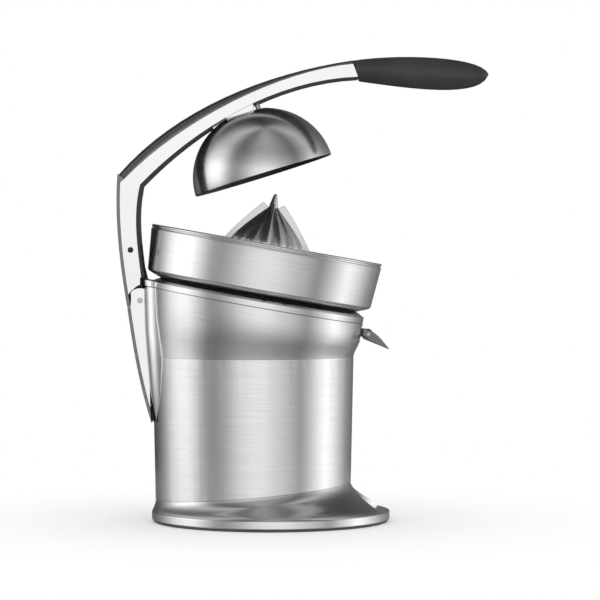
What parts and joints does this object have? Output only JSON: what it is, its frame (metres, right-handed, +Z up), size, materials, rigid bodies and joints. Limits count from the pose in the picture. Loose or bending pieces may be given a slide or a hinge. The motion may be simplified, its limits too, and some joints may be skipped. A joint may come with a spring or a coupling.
{
  "type": "lever citrus juice press",
  "caption": "Motor driven citrus press: a curved lever arm brings a steel dome down over a finned cone in a leaning juice bowl.",
  "frame": {"origin": "centre of the round rubber foot, on the surface that the press stands on", "axes": "+X forward to the spout, +Y to the press's left, +Z up"},
  "size_m": [0.3511, 0.2258, 0.44],
  "materials": {
    "brushed": "fine brushed stainless steel",
    "polished": "polished die casting",
    "dark": "black moulding",
    "rubber": "charcoal soft grip rubber",
    "brass": "machined brass",
    "steel": "plain steel",
    "cone": "polished casting",
    "black_steel": "blackened steel",
    "moulding": "clear grey moulding"
  },
  "bodies": {
    "housing": {"foot_ring": "rubber", "base_skirt": "brushed", "base_cover": "dark", "cover_screws": "black_steel", "cord_gland": "dark", "column_shell": "brushed", "head_shell": "brushed", "collar_ring": "brushed", "rear_spine": "brushed", "hinge_bracket": "polished", "bracket_cover": "brushed", "bracket_screws": "black_steel", "head_deck": "dark", "spindle_bushes": "brass", "shaft_seal": "dark", "deck_posts": "steel", "gear_plate_upper": "steel", "gear_plate_lower": "steel", "plate_posts": "steel", "idler_pin": "steel", "motor_case": "steel", "motor_stator": "dark", "motor_bushes": "brass", "start_switch": "dark", "juice_bowl": "brushed", "filter_basket": "moulding", "spout_duct": "dark", "spout_pin": "steel", "rocker_pin": "steel", "control_pin_lower": "steel"},
    "rocker": {"rocker_link": "black_steel"},
    "control": {"control_link": "black_steel"},
    "arm": {"arm_casting": "polished", "beam_cover": "brushed", "leg_cover": "brushed", "leg_lining": "dark", "beam_lining": "dark", "swing_pin": "black_steel", "control_pin_upper": "steel", "grip_tang": "steel", "grip": "rubber", "press_dome": "brushed", "dome_liner": "dark", "dome_bracket": "polished", "dome_post": "steel", "dome_screws": "steel"},
    "cone": {"reamer_cone": "cone", "cone_spindle": "steel", "output_gear": "moulding"},
    "idler": {"idler_gear": "brass"},
    "rotor": {"motor_rotor": "steel", "motor_pinion": "brass"},
    "spout": {"drip_spout": "brushed"}
  },
  "joints": [
    {"name": "rocker_swing", "type": "hinge", "parent": "housing", "child": "rocker", "pos_m": [-0.1228, 0, 0.2094], "axis": [0, 1, 0], "range_deg": [-20.9, 0]},
    {"name": "arm_swing", "type": "hinge", "parent": "rocker", "child": "arm", "pos_m": [-0.1318, 0, 0.257], "axis": [0, 1, 0], "range_deg": [0, 48.1]},
    {"name": "control_swing", "type": "hinge", "parent": "housing", "child": "control", "pos_m": [-0.105, 0, 0.166], "axis": [0, 1, 0], "range_deg": [-15, 0]},
    {"name": "cone_spin", "type": "hinge", "parent": "housing", "child": "cone", "pos_m": [-0.011, 0, 0.22], "axis": [0.1736, 0, 0.9848], "continuous": true},
    {"name": "idler_spin", "type": "hinge", "parent": "housing", "child": "idler", "pos_m": [-0.01968, 0.0405, 0.17076], "axis": [0.1736, 0, 0.9848], "continuous": true},
    {"name": "rotor_spin", "type": "hinge", "parent": "housing", "child": "rotor", "pos_m": [0.01155, 0.02896, 0.16525], "axis": [0.1736, 0, 0.9848], "continuous": true},
    {"name": "spout_flip", "type": "hinge", "parent": "housing", "child": "spout", "pos_m": [0.0926, 0, 0.1774], "axis": [0, -1, 0], "range_deg": [0, 25]}
  ],
  "couplings": [
    {"joint": "rocker_swing", "follows": "arm_swing", "ratio": -0.43243},
    {"joint": "control_swing", "follows": "arm_swing", "ratio": -0.3089},
    {"joint": "idler_spin", "follows": "cone_spin", "ratio": -3.5},
    {"joint": "rotor_spin", "follows": "cone_spin", "ratio": 12.25}
  ]
}
